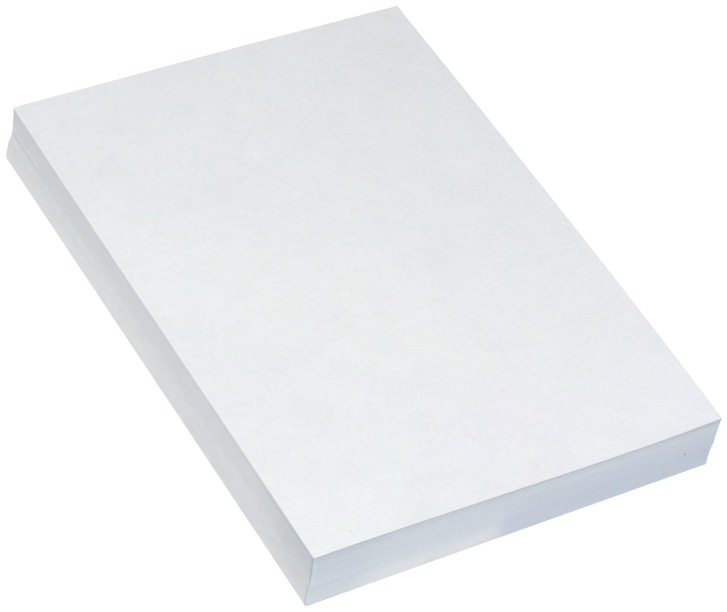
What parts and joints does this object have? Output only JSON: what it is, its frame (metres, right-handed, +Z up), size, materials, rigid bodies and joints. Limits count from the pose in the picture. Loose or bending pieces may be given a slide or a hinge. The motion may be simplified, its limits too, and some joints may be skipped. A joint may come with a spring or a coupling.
{
  "type": "ream of paper",
  "caption": "Neat stack of loose, plain white A4 paper sheets without a wrapper, squared up by hand and lying flat.",
  "frame": {"origin": "under the middle of the stack, in the plane that it rests on", "axes": "+X to the right across the sheets' width, +Y to the back along their length, +Z up"},
  "size_m": [0.2139, 0.2999, 0.0349],
  "materials": {
    "paper": "matt uncoated white paper with a faint fibre mottle and cleanly cut edges"
  },
  "bodies": {
    "root": {"bottom_sheet": "paper", "lift_01": "paper", "lift_02": "paper", "lift_03": "paper", "lift_04": "paper", "lift_05": "paper", "lift_06": "paper", "lift_07": "paper", "lift_08": "paper", "lift_09": "paper", "lift_10": "paper", "lift_11": "paper", "lift_12": "paper", "lift_13": "paper", "lift_14": "paper", "lift_15": "paper", "lift_16": "paper", "lift_17": "paper", "lift_18": "paper", "lift_19": "paper", "lift_20": "paper", "lift_21": "paper", "lift_22": "paper", "lift_23": "paper", "lift_24": "paper", "lift_25": "paper", "lift_26": "paper", "lift_27": "paper", "lift_28": "paper", "lift_29": "paper", "lift_30": "paper", "lift_31": "paper", "top_sheet": "paper"}
  },
  "joints": []
}
